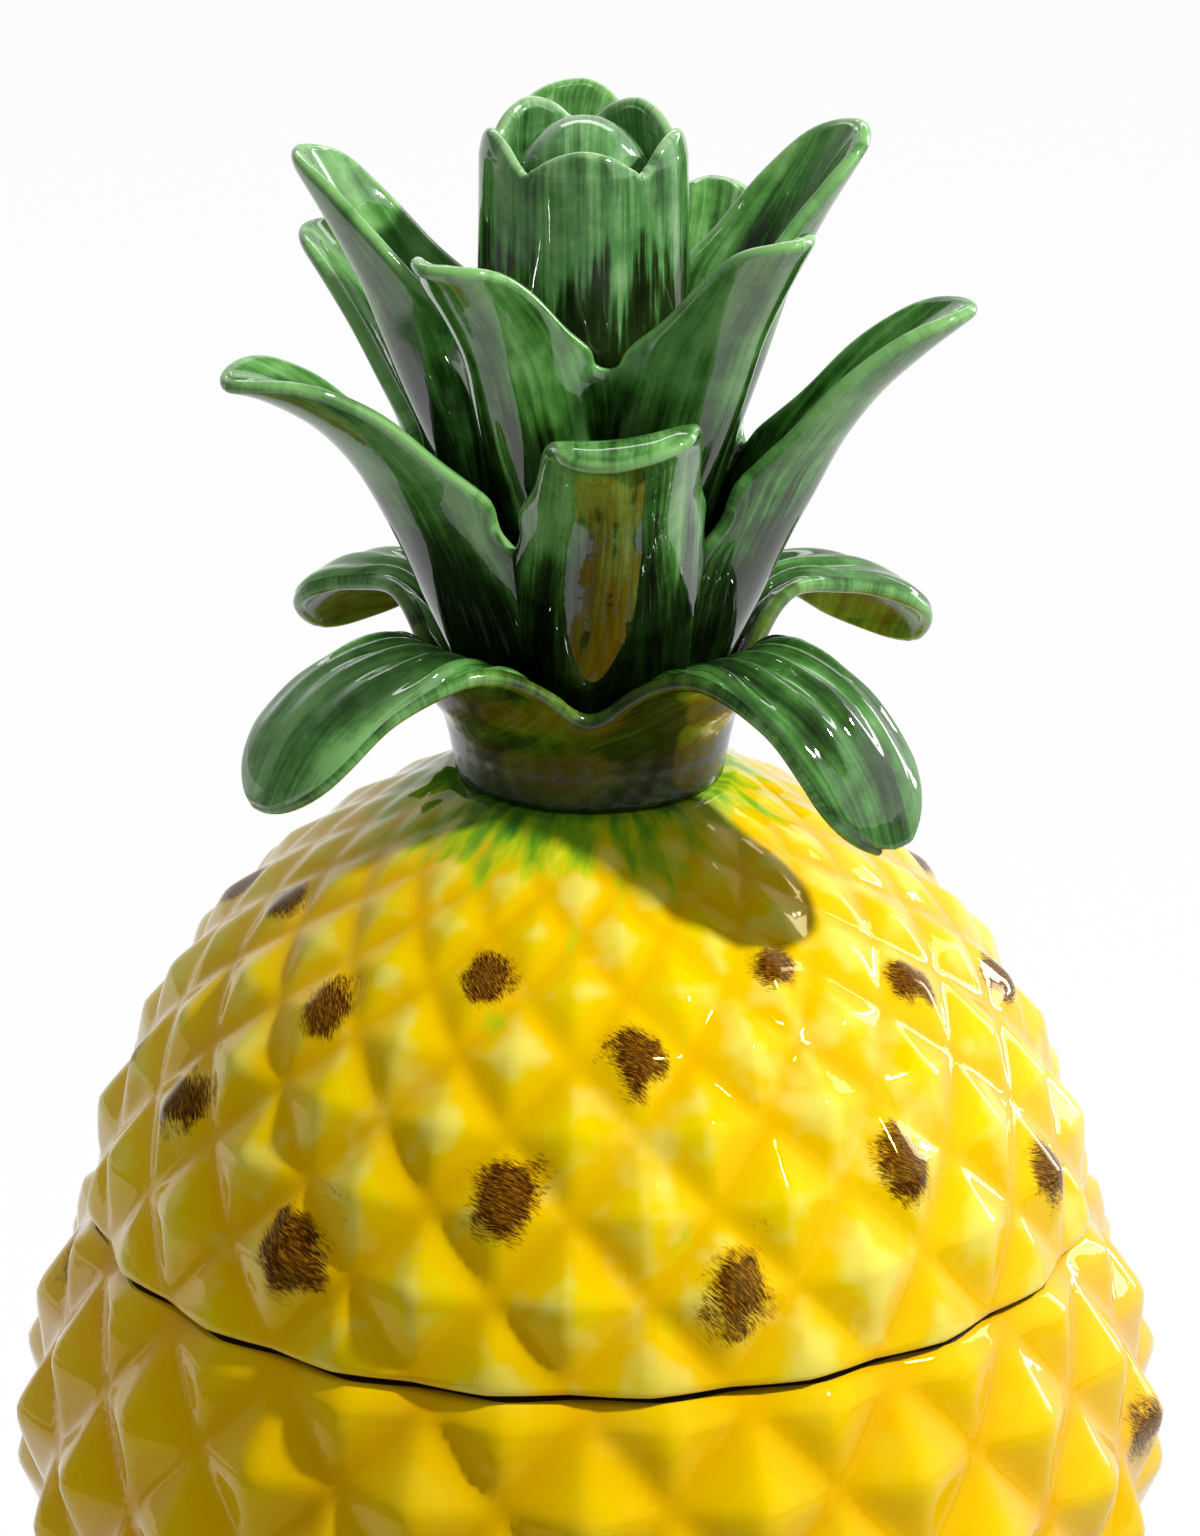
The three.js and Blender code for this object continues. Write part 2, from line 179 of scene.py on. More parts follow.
LAMPS_LOOK_AT = 0.22  # height of the point that they face
for name, toward_lamp, distance, size, watts in [
    ("key_lamp", (0.63, -0.25, 0.73), 1.6, (0.12, 0.12), 25.6),
    ("right_panel", (0.80, 0.50, 0.34), 1.5, (0.16, 1.0), 3.6),
    ("right_strip", (0.76, 0.60, 0.20), 1.5, (0.09, 0.8), 4.5),
    ("front_fill", (-0.25, -0.45, 0.85), 1.5, (1.0, 1.0), 2.9),
    ("left_panel", (-0.92, 0.25, 0.28), 1.5, (0.25, 1.2), 1.5),
    ("rear_panel", (0.05, 0.72, 0.70), 1.5, (1.2, 0.3), 4.0),
]:
    lamp = bpy.data.objects.new(name, bpy.data.lights.new(name, "AREA"))
    bpy.context.scene.collection.objects.link(lamp)
    lamp.data.shape = "ELLIPSE" if name == "key_lamp" else "RECTANGLE"
    lamp.data.size, lamp.data.size_y = size
    lamp.data.energy = watts
    lamp.visible_diffuse = not name.startswith("right")
    lamp.visible_glossy = name not in ("front_fill", "left_panel")
    away = Vector(toward_lamp).normalized()
    lamp.location = away * distance + Vector((0, 0, LAMPS_LOOK_AT))
    lamp.rotation_euler = away.to_track_quat("Z", "Y").to_euler()

# The table top is board painted matt white, so it takes the soft shadow. The glaze mirrors it white round the
# jar and behind it, and grey in the far front, because to mirrored rays the table glows as a painted pool of
# light.
LIT_MIDDLE = (0.2, 0.25, 0)  # of its round white part
material, tree = new_material("white matt table top")
ray = add(tree, "LightPath")
place = add(tree, "TexCoord").outputs["Object"]
matt = add(tree, "BsdfDiffuse", {"Color": linear("#B4B4B4")})
white = add(tree, "Emission", {"Color": linear("#FFFFFF"), "Strength": 1.06})
share = add(tree, "Math", {0: ray.outputs["Is Camera Ray"], 1: 0.9}, operation="MULTIPLY")
off_middle = add(tree, "VectorMath", {0: place, 1: LIT_MIDDLE}, operation="DISTANCE").outputs["Value"]
# Painted reflection: mirrored rays see the table glow white round its lit middle and behind the jar.
painted_reflection_pool = add(
    tree,
    "MapRange",
    {"Value": off_middle, "From Min": 0.82, "From Max": 0.90, "To Min": 1.0, "To Max": 0.25},
)
behind = add(tree, "SeparateXYZ", {0: place}).outputs["Y"]
behind = add(tree, "MapRange", {"Value": behind, "From Min": 0.1, "From Max": 0.6, "To Max": 1.0})
painted_reflection_pool = add(tree, "Math", {0: painted_reflection_pool.outputs[0], 1: behind.outputs[0]}, operation="MAXIMUM")
painted_reflection_glow = add(tree, "Emission", {"Color": linear("#FFFFFF"), "Strength": painted_reflection_pool.outputs[0]})
bare = add(tree, "MixShader", {0: ray.outputs["Is Glossy Ray"], 1: matt.outputs[0], 2: painted_reflection_glow.outputs[0]})
top = add(tree, "MixShader", {0: share.outputs[0], 1: bare.outputs[0], 2: white.outputs[0]})
add(tree, "OutputMaterial", {"Surface": top.outputs[0]})
shape = bmesh.new()
bmesh.ops.create_grid(shape, x_segments=1, y_segments=1, size=5)
floor = into_scene("table_top", shape, material)

# The pot is cast earthenware with a relief of diamonds pressed by its mould, like the fruit's rind. It is
# glazed inside and out in one firing, and stands on a ring that was wiped bare.
POT_HEIGHT = 0.1725
POT_WALL = 0.0075
POT_FLOOR = 0.011  # upper face
FOOT_RECESS = 0.003  # of the floor's underside
BELLY_RADIUS = 0.1122
BELLY_INSIDE = 0.1025
RIM_RADIUS = 0.1004  # of the lid's edge too
RIM_ROUNDING = 0.0024  # how far below the rim it starts
MOUTH_RADIUS = RIM_RADIUS - POT_WALL
DIAMONDS = 20
RELIEF = 0.0064
VALLEY = 0.0011  # roundings of the relief
RIDGE = 0.0028
APEX = 0.0024
AROUND = DIAMONDS * 16  # steps of the spin
POT_OUTLINE = [(0.072, 0.006), (0.0997, 0.050), (BELLY_RADIUS, 0.116), (0.109, 0.1459)]
POT_OUTLINE += [(RIM_RADIUS, POT_HEIGHT)]
POT_TAPER = 1.3  # how fast the relief gets shallower where the pot is narrow
POT_ROWS = 9
FIRST_CROSSING = 0.0026  # below the rim
POT_PHASE = -0.4  # degrees
DAB_LIMIT = 2.2  # in half widths of the dab, beyond which there is no paint
DAB_REACH = 0.016
NO_DAB = (0, 0, 9)
GLAZED, LINED, SEAT, BARE = range(4)  # slots of the finishes
POT_DABS = [(77, 130.6, 11, 17, 5), (-86, 163, 12, 14, 0), (130, 128, 15, 17, 20), (-176, 131, 14, 17, -15)]
POT_DABS += [(-130, 127, 15, 18, 10), (160, 160, 13, 15, 0), (-148, 158, 14, 14, -25)]
POT_DABS += [(-60 + 51.4 * i, 83 + 4 * math.sin(2.3 * i), 14, 17, 40 * math.sin(5.1 * i)) for i in range(7)]
POT_DABS += [(-36 + 51.4 * i, 46 + 3 * math.sin(1.7 * i), 14, 16, 40 * math.sin(3.7 * i)) for i in range(7)]


def smooth_line(rows, steps):
    """Rows of numbers along a smooth line through the given ones, with steps between each two."""
    before = [2 * a - b for a, b in zip(rows[0], rows[1])]
    after = [2 * a - b for a, b in zip(rows[-1], rows[-2])]
    ends = [before, *rows, after]
    line = []
    for a, b, c, d in zip(ends, ends[1:], ends[2:], ends[3:]):
        for step in range(steps):
            t = step / steps
            line.append(
                [
                    q + t * (r - p + t * (2 * p - 5 * q + 4 * r - s + t * (3 * q - p - 3 * r + s))) / 2
                    for p, q, r, s in zip(a, b, c, d)
                ]
            )
    return [*line, list(rows[-1])]


def even_walk(line, count):
    """Points spaced evenly along a line, each as (x, y, direction x, direction y, share of the way)."""
    points = [Vector(p) for p in line]
    lengths = [0]
    for a, b in zip(points, points[1:]):
        lengths.append(lengths[-1] + (b - a).length)
    walk = []
    i = 0
    for n in range(count + 1):
        far = lengths[-1] * n / count
        while i < len(points) - 2 and lengths[i + 1] < far:
            i += 1
        t = (far - lengths[i]) / (lengths[i + 1] - lengths[i])
        way = (points[i + 1] - points[i]).normalized()
        walk.append((*points[i].lerp(points[i + 1], t), *way, n / count))
    return walk, lengths[-1]


def diamond(turn, row, radius):
    """Height of the relief from 0 in a valley to 1 on an apex, and how near it is to a ridge. The roundings
    stay the same size where the diamonds are small."""
    half_width = math.pi * radius / DIAMONDS
    valley, ridge, apex = (size / half_width for size in (VALLEY, RIDGE, APEX))
    p, q = turn + row / 2, turn - row / 2
    a, b = (2 * abs(x - round(x)) for x in (p, q))
    a, b = (math.hypot(x, valley) - valley for x in (a, b))
    near = max(ridge - abs(a - b), 0) / ridge
    height = min(a, b) - near * near * ridge / 4
    height = math.hypot(1, apex) - math.hypot(1 - height, apex)
    return height / (math.hypot(1, apex) - apex), near


def throw(name, profile, phase, walk, dabs):
    """Spins a profile that starts and ends on the axis, and raises the diamonds. Profile rows are (radius,
    height, row of the relief, raise outwards, raise upwards, finish). The brush dabs lie on the walk up the
    outline and are (azimuth, height, width, length, slant), in degrees and mm."""
    touches = []
    for azimuth, height, width, tall, slant in dabs:
        radius, level, way_r, way_z, _ = min(walk, key=lambda step: abs(step[1] - height / 1000))
        east = Vector((math.cos(math.radians(azimuth)), math.sin(math.radians(azimuth)), 0))
        outwards = Vector((east.y, -east.x, 0))
        up = outwards * way_r + Vector((0, 0, way_z))
        turn = math.radians(slant)
        across = (east * math.cos(turn) + up * math.sin(turn)) * 2000 / width
        along = (up * math.cos(turn) - east * math.sin(turn)) * 2000 / tall
        touches.append((outwards * radius + Vector((0, 0, level)), across, along))
    shape = bmesh.new()
    layers = [shape.verts.layers.float.new(n) for n in ("row", "out", "up", "finish")]
    for radius, height, *values in profile:
        vertex = shape.verts.new((0, -radius, height))
        for layer, value in zip(layers, values):
            vertex[layer] = value
    shape.verts.ensure_lookup_table()
    for a, b in zip(shape.verts[:-1], shape.verts[1:]):
        shape.edges.new((a, b))
    bmesh.ops.spin(
        shape,
        geom=shape.verts[:] + shape.edges[:],
        cent=(0, 0, 0),
        axis=(0, 0, 1),
        angle=2 * math.pi,
        steps=AROUND,
        use_merge=True,
    )
    bmesh.ops.remove_doubles(shape, verts=shape.verts[:], dist=1e-6)
    bmesh.ops.recalc_face_normals(shape, faces=shape.faces[:])
    row, out, up, finish = layers
    apex = shape.verts.layers.float.new("apex")
    ridge = shape.verts.layers.float.new("ridge")
    place = shape.verts.layers.float_vector.new("dab_place")
    for face in shape.faces:
        face.smooth = True
        face.material_index = int(max(v[finish] for v in face.verts))
    for vertex in shape.verts:
        angle = math.atan2(vertex.co.x, -vertex.co.y)
        radius = math.hypot(vertex.co.x, vertex.co.y)
        vertex[place] = NO_DAB
        for middle, across, along in touches:
            off = vertex.co - middle
            if max(abs(off.dot(across)), abs(off.dot(along))) < DAB_LIMIT and off.length < DAB_REACH:
                vertex[place] = (off.dot(across), off.dot(along), 0)
        if vertex[out] or vertex[up]:
            height, near = diamond((math.degrees(angle) - phase) * DIAMONDS / 360, vertex[row], radius)
            vertex[apex] = height
            vertex[ridge] = near * height
            vertex.co += Vector((math.sin(angle), -math.cos(angle), 0)) * vertex[out] * height
            vertex.co.z += vertex[up] * height
    return into_scene(name, shape)


def plain(finish, *points):
    """Profile rows that carry no relief."""
    return [(radius, height, 0, 0, 0, finish) for radius, height in points]


walk, length = even_walk(smooth_line(POT_OUTLINE, 24), 86)
profile = plain(BARE, (0, FOOT_RECESS), (0.058, FOOT_RECESS), (0.0605, 0.0025), (0.0615, 0.0006))
profile += plain(BARE, (0.0625, 0), (0.0685, 0), (0.0698, 0.0008)) + plain(GLAZED, (0.0704, 0.003))
for radius, height, way_r, way_z, share in walk:
    row = ((1 - share) * length - FIRST_CROSSING) * POT_ROWS / (length - FIRST_CROSSING)
    fade = max(0, min(1, POT_ROWS - row, 0.7 + 0.8 * row))
    lift = RELIEF * (radius / BELLY_RADIUS) ** POT_TAPER * way_z * fade
    if height < POT_HEIGHT - RIM_ROUNDING:
        profile.append((radius, height, row, lift, 0, GLAZED))
rim_row = -FIRST_CROSSING * POT_ROWS / length
for inset, drop in [(0.0002, 0.002), (0.0007, 0.0013), (0.0016, 0.0008), (0.0021, 0.0006)]:
    profile.append((RIM_RADIUS - inset, POT_HEIGHT - drop, rim_row, lift, 0, GLAZED))
profile.append((RIM_RADIUS - 0.0045, POT_HEIGHT, rim_row, lift, 0, SEAT))
profile += plain(LINED, (MOUTH_RADIUS + 0.0016, POT_HEIGHT), (MOUTH_RADIUS + 0.0004, POT_HEIGHT - 0.0004))
profile += plain(LINED, (MOUTH_RADIUS, POT_HEIGHT - 0.0014))
for radius, height, way_r, way_z, _ in reversed(walk[4:-3:6]):
    profile += plain(LINED, (min(radius - POT_WALL * way_z, BELLY_INSIDE), height + POT_WALL * way_r))
profile += plain(LINED, (0.062, 0.0125), (0.056, 0.0112), (0, POT_FLOOR))
pot = throw("pot_with_diamond_relief", profile, POT_PHASE, walk, POT_DABS)


def glaze(name, stops, pale, pale_amount, shine, wash=None):
    """Clear lead glaze over brushed slip: a hard mirror shine over a colour that is painted a deeper orange
    in the valleys as shade, and was wiped thin and pale on the apexes. The brown dabs were dry-brushed, so
    the bristles show at their edges. A wash is a function that brushes another colour over it."""
    material, tree = new_material(name)
    place = add(tree, "TexCoord").outputs["Object"]
    apex = add(tree, "Attribute", attribute_name="apex").outputs["Fac"]
    ridge = add(tree, "Attribute", attribute_name="ridge").outputs["Fac"]
    cloud = add(tree, "TexNoise", {"Vector": place, "Scale": 1 / 0.011, "Detail": 2.0, "Roughness": 0.45})
    mottle = add(tree, "TexNoise", {"Vector": place, "Scale": 1 / 0.030, "Detail": 3.0})
    high = add(tree, "Math", {0: ridge, 1: 0.35, 2: apex}, operation="MULTIPLY_ADD")
    high = add(tree, "Math", {0: cloud.outputs[0], 1: 4.5, 2: high.outputs[0]}, operation="MULTIPLY_ADD")
    thin = add(
        tree,
        "MapRange",
        {"Value": high.outputs[0], "From Min": 2.55, "From Max": 3.7, "To Max": pale_amount},
        interpolation_type="SMOOTHSTEP",
    )
    # Painted shade: the ramp runs from valley to apex, so the valleys get a deeper orange.
    tone = add(tree, "Math", {0: mottle.outputs[0], 1: 0.9, 2: apex}, operation="MULTIPLY_ADD")
    color = add(tree, "ValToRGB", {"Fac": tone.outputs[0]}, stops=stops).outputs[0]
    color = add(tree, "Mix", {0: thin.outputs[0], 6: color, 7: linear(pale)}, data_type="RGBA").outputs[2]
    if wash:
        color = wash(tree, place, apex, color)
    dab = add(tree, "Attribute", attribute_name="dab_place").outputs["Vector"]
    drift = add(tree, "VectorMath", {0: place, 1: (90, 90, 90)}, operation="MULTIPLY").outputs[0]
    swirl = add(tree, "TexNoise", {"Vector": place, "Scale": 1 / 0.007, "Detail": 1.0}).outputs["Color"]
    swirl = add(tree, "VectorMath", {0: swirl, 1: (0.4, 0.4, 0), 2: dab}, operation="MULTIPLY_ADD").outputs[0]
    turned = add(tree, "Mapping", {"Vector": swirl, "Rotation": (0, 0, math.radians(35))}).outputs[0]
    drawn = add(tree, "VectorMath", {0: turned, 1: (4, 27, 1), 2: drift}, operation="MULTIPLY_ADD").outputs[0]
    bristle = add(tree, "TexNoise", {"Vector": drawn, "Scale": 1.0, "Detail": 3.0, "Roughness": 0.6})
    blot = add(tree, "TexNoise", {"Vector": place, "Scale": 1 / 0.007, "Detail": 3.0})
    far = add(tree, "VectorMath", {0: dab}, operation="LENGTH").outputs["Value"]
    far = add(tree, "Math", {0: apex, 1: -0.6, 2: far}, operation="MULTIPLY_ADD").outputs[0]
    far = add(tree, "Math", {0: bristle.outputs[0], 1: 1.7, 2: far}, operation="MULTIPLY_ADD").outputs[0]
    far = add(tree, "Math", {0: blot.outputs[0], 1: 1.9, 2: far}, operation="MULTIPLY_ADD").outputs[0]
    cover = add(
        tree,
        "MapRange",
        {"Value": far, "From Min": 2.1, "From Max": 2.55, "To Min": 1.0, "To Max": 0.0},
        interpolation_type="SMOOTHSTEP",
    )
    brown = add(
        tree,
        "ValToRGB",
        {"Fac": bristle.outputs[0]},
        stops=[(0.34, "#2A1404"), (0.46, "#4E2A08"), (0.56, "#7C4C0C"), (0.70, "#B47C12")],
    ).outputs[0]
    stain = add(
        tree,
        "MapRange",
        {"Value": far, "From Min": 2.35, "From Max": 2.8, "To Min": 0.8, "To Max": 0.0},
        interpolation_type="SMOOTHSTEP",
    )
    tan = linear("#C08A08")
    color = add(tree, "Mix", {0: stain.outputs[0], 6: color, 7: tan}, data_type="RGBA").outputs[2]
    color = add(tree, "Mix", {0: cover.outputs[0], 6: color, 7: brown}, data_type="RGBA").outputs[2]
    skin = add(tree, "TexNoise", {"Vector": place, "Scale": 1 / 0.006, "Detail": 2.0})
    bump = add(tree, "Bump", {"Height": skin.outputs[0], "Strength": 0.35, "Distance": 0.00025})
    surface = add(
        tree,
        "BsdfPrincipled",
        {
            "Base Color": color,
            "Roughness": 0.04,
            "IOR": 1.5,
            "Specular Tint": linear(shine),
            "Normal": bump.outputs[0],
        },
    )
    add(tree, "OutputMaterial", {"Surface": surface.outputs[0]})
    return material


def plain_glaze(name, color, roughness):
    """Thin glaze or bare fired clay with a little cloudiness and a pitted skin."""
    material, tree = new_material(name)
    place = add(tree, "TexCoord").outputs["Object"]
    cloud = add(tree, "TexNoise", {"Vector": place, "Scale": 1 / 0.02, "Detail": 6.0})
    darker = [c * 0.72 for c in linear(color)[:3]] + [1]
    tint = add(tree, "Mix", {0: cloud.outputs[0], 6: linear(color), 7: darker}, data_type="RGBA").outputs[2]
    pits = add(tree, "TexNoise", {"Vector": place, "Scale": 1 / 0.0015, "Detail": 4.0})
    bump = add(tree, "Bump", {"Height": pits.outputs[0], "Strength": 0.3, "Distance": 0.0002})
    surface = add(
        tree,
        "BsdfPrincipled",
        {"Base Color": tint, "Roughness": roughness, "IOR": 1.5, "Normal": bump.outputs[0]},
    )
    add(tree, "OutputMaterial", {"Surface": surface.outputs[0]})
    return material


inside_glaze = plain_glaze("thin cream liner glaze", "#EFE3BC", 0.12)
bare_clay = plain_glaze("wiped bare earthenware", "#D9B48A", 0.85)
# Painted shade: the seat faces are dark brown so that the seam under the lid's edge looks dark.
seam_painted_shade_clay = plain_glaze("bare earthenware stained brown at the seat", "#4A2C12", 0.7)
# Its first colour stops are the painted shade in the valleys.
pot_glaze = glaze(
    "brushed warm yellow majolica glaze",
    [(0.30, "#F0B200"), (0.60, "#F6C200"), (0.996, "#F9CA00"), (1.0, "#FACE00")],
    "#F6DC40",
    0.16,
    "#FFD238",
)
for material in (pot_glaze, inside_glaze, seam_painted_shade_clay, bare_clay):
    pot.data.materials.append(material)
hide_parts("pot_body")
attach(pot, "pot")

# The lid is a cast dome in the same relief, whose rows close up towards the neck. Its glaze is more lemon
# than the pot's and paler on the apexes, and its edge is rounded by the sponge.
LID_EDGE = 0.174
LID_SEAT = 0.1728
LID_ROWS = 9.5
LID_ROW_TAPER = 1.4  # how fast the rows close up
LID_TAPER = 2.1  # how fast the relief gets shallower where the lid is narrow
LID_EDGE_RELIEF = 0.45  # share of the relief that is left on the lid's edge
LID_PHASE = -2.3  # degrees
NECK_RADIUS = 0.0286
LID_WALL = 0.0075
RING_INNER = 0.0867
LID_OUTLINE = [(0, 1), (0.18, 0.936), (0.35, 0.845), (0.51, 0.737), (0.67, 0.58), (0.84, 0.33), (1, 0)]
LID_DABS = [(-73.3, 243.4, 11, 10, 0), (-44.5, 234.1, 13, 12, -20), (-62.9, 210.7, 14, 15, -10)]
LID_DABS += [(-18.5, 243.3, 11, 12, -15), (6.8, 232.5, 12, 16, 10), (35.1, 243.1, 11, 9, 0)]
LID_DABS += [(59.1, 233.4, 12, 9, -25), (85.7, 220.9, 13, 12, 0), (42.0, 207.3, 12, 17, 5)]
LID_DABS += [(68.7, 191.7, 13, 15, 0), (-36.2, 194.2, 15, 19, 15), (-10.7, 208.7, 17, 16, 10)]
LID_DABS += [(17.4, 191.6, 15, 20, -8), (-88, 206, 13, 14, 0), (112, 234, 12, 11, 20)]
LID_DABS += [(165, 232, 12, 13, -15), (-143, 234.5, 12, 13, 10), (-100, 236, 11, 12, 0)]
LID_DABS += [(138, 244, 11, 10, -20), (-168, 243, 11, 11, 15), (146, 209, 14, 15, 10)]
LID_DABS += [(-161, 207.5, 15, 16, -15), (-114, 208.5, 14, 16, 5), (121, 192.2, 15, 17, -5)]
LID_DABS += [(172, 193.5, 14, 18, 15), (-137, 192, 15, 17, 0)]
outline = [
    (NECK_RADIUS + out * (RIM_RADIUS - NECK_RADIUS), LID_EDGE + up * (NECK - LID_EDGE))
    for up, out in LID_OUTLINE
]
walk, length = even_walk(smooth_line(outline, 24), 96)
profile = plain(LINED, (0, NECK - LID_WALL))
for radius, height, way_r, way_z, _ in reversed(walk[8:-8:8]):
    profile += plain(LINED, (min(radius - LID_WALL * way_z, RING_INNER), height + LID_WALL * way_r))
profile += plain(LINED, (RING_INNER, 0.178), (RING_INNER, LID_SEAT)) + plain(SEAT, (0.0955, LID_SEAT))
lift = LID_EDGE_RELIEF * RELIEF * (RIM_RADIUS / BELLY_RADIUS) ** LID_TAPER
for inset, drop, finish in [(0.0042, 0.0012, SEAT), (0.0014, 0.0009, SEAT), (0.0003, 0.0003, GLAZED)]:
    profile.append((RIM_RADIUS - inset, LID_EDGE - drop, 0, lift, 0, finish))
for radius, height, way_r, way_z, share in walk:
    row = LID_ROWS * (1 - (1 - share) ** (1 / LID_ROW_TAPER))
    fade = min(1, 0.8 * (LID_ROWS - row), LID_EDGE_RELIEF + 1.1 * row)
    lift = RELIEF * (radius / BELLY_RADIUS) ** LID_TAPER * fade
    profile.append((radius, height, row, lift * way_z, -lift * way_r, GLAZED))
profile += plain(GLAZED, (0.020, NECK), (0, NECK))
lid = throw("lid_with_diamond_relief", profile, LID_PHASE, walk, LID_DABS)


def green_wash(tree, place, apex, color):
    """Copper green that the brush drew down from the collar, further in front on the left. It pooled in the
    valleys."""
    spot = add(tree, "SeparateXYZ", {0: place})
    near = add(
        tree,
        "MapRange",
        {"Value": spot.outputs["Z"], "From Min": NECK - 0.013, "From Max": NECK + 0.0015},
    ).outputs[0]
    left = add(
        tree,
        "MapRange",
        {"Value": spot.outputs["X"], "From Min": 0.045, "From Max": -0.03, "To Min": 0.6, "To Max": 1.15},
    ).outputs[0]
    around = add(tree, "VectorMath", {0: place, 1: (1, 1, 0)}, operation="MULTIPLY").outputs[0]
    around = add(tree, "VectorMath", {0: around}, operation="NORMALIZE").outputs[0]
    along = add(tree, "VectorMath", {0: place, 1: (70, 70, 90)}, operation="MULTIPLY").outputs[0]
    path = add(tree, "VectorMath", {0: around, 1: (6, 6, 0), 2: along}, operation="MULTIPLY_ADD").outputs[0]
    patch = add(tree, "TexNoise", {"Vector": path, "Scale": 1.0, "Detail": 2.5, "Roughness": 0.55}).outputs[0]
    near = add(tree, "Math", {0: near, 1: left}, operation="MULTIPLY").outputs[0]
    amount = add(tree, "Math", {0: patch, 1: 1.6, 2: near}, operation="MULTIPLY_ADD").outputs[0]
    amount = add(tree, "Math", {0: apex, 1: -0.25, 2: amount}, operation="MULTIPLY_ADD").outputs[0]
    wash = add(
        tree,
        "ValToRGB",
        {"Fac": add(tree, "MapRange", {"Value": amount, "From Min": 1.0, "From Max": 1.9}).outputs[0]},
        stops=[(0.0, "#E2DC10"), (0.35, "#BACC18"), (0.65, "#6CAC20"), (0.95, "#2C8028")],
    ).outputs[0]
    cover = add(
        tree,
        "MapRange",
        {"Value": amount, "From Min": 0.95, "From Max": 1.35, "To Max": 0.95},
        interpolation_type="SMOOTHSTEP",
    ).outputs[0]
    return add(tree, "Mix", {0: cover, 6: color, 7: wash}, data_type="RGBA").outputs[2]


# Its first colour stops are the painted shade in the valleys.
lid_glaze = glaze(
    "brushed lemon yellow majolica glaze",
    [(0.30, "#F4BA00"), (0.60, "#FACA00"), (0.996, "#FBD200"), (1.0, "#F8D800")],
    "#FAF078",
    0.56,
    "#FFDC40",
    wash=green_wash,
)
for material in (lid_glaze, inside_glaze, seam_painted_shade_clay):
    lid.data.materials.append(material)
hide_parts("lid_dome")
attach(lid, "lid")

# A ring of clay was luted under the lid's edge, so that the lid drops into the pot's mouth and stays
# centred. It is thinly glazed like the inside, with its corners softened by the sponge.
RING_OUTER = 0.0917
RING_BOTTOM = 0.1625
shape = bmesh.new()
corners = [
    shape.verts.new((0, -radius, height))
    for radius, height in [
        (RING_INNER, POT_HEIGHT),
        (RING_INNER, RING_BOTTOM),
        (RING_OUTER, RING_BOTTOM),
        (RING_OUTER, POT_HEIGHT),
    ]
]
section = shape.faces.new(corners)
bmesh.ops.bevel(
    shape, geom=section.verts[1:3], offset=0.0014, affect="VERTICES", segments=4, profile=0.5, material=-1
)
bmesh.ops.spin(
    shape,
    geom=shape.verts[:] + shape.edges[:],
    cent=(0, 0, 0),
    axis=(0, 0, 1),
    angle=2 * math.pi,
    steps=AROUND // 2,
    use_merge=True,
)
bmesh.ops.delete(shape, geom=[f for f in shape.faces if len(f.verts) > 4], context="FACES_ONLY")
bmesh.ops.recalc_face_normals(shape, faces=shape.faces[:])
for face in shape.faces:
    face.smooth = abs(face.normal.z) < 0.95
ring = into_scene("locating_ring", shape, inside_glaze)
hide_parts("lid_locating_ring")
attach(ring, "lid")

# The collar is four leaves cut from a rolled slab, joined edge to edge into a cup on the neck and bent over
# outwards. Their upper sides were combed into flutes while the clay was soft. Sizes are in mm above the neck.
LEAF_THICKNESS = 0.0044
FLUTE_DEPTH = 0.00105
FOOT_LEVEL = 0.004  # above the neck, below which an open edge is a tier's foot
COLLAR_RADIUS = 28.2
STEM_FLARE = [(0, 0), (9, 0.1), (19, 1.9), (28, 2.8), (52, 3.2), (76, 5), (90, 6.6), (124, 6.2), (136, 6.0)]
LOWER_CUP = [(0.3, -1.4, 0), (4, -0.9, 0), (9, 0, 0), (14, 0.4, 0.4), (19, 2.2, 1.8)]
LOWER_FRONT = [(9.8, 27, 19.5, 4), (16.8, 32, 16, 0), (25.8, 33, 13.5, -3), (35.3, 30.5, 13.5, -4)]
LOWER_FRONT += [(42.8, 24, 14, -4), (47.3, 16, 14, -3), (49.3, 7.5, 13, -1.5)]
LOWER_BACK = [(9.8, 24, 18.5, 4), (15.8, 28, 15, 0), (24.8, 29, 13, -3), (33.3, 27.5, 13, -4)]
LOWER_BACK += [(40.3, 23.5, 14, -4), (45.3, 18, 14.5, -3), (47.8, 11.5, 13.5, -1.5)]


def stem_flare(height):
    """How much wider the nested cups are at a height than at their foot, in mm."""
    for (a, low), (b, high) in zip(STEM_FLARE, STEM_FLARE[1:]):
        if height <= b:
            return low + (high - low) * (height - a) / (b - a)
    return STEM_FLARE[-1][1]


TIP_ANGLES = (20, 38, 54, 67, 77, 84)  # degrees round the tip at which a leaf has a row


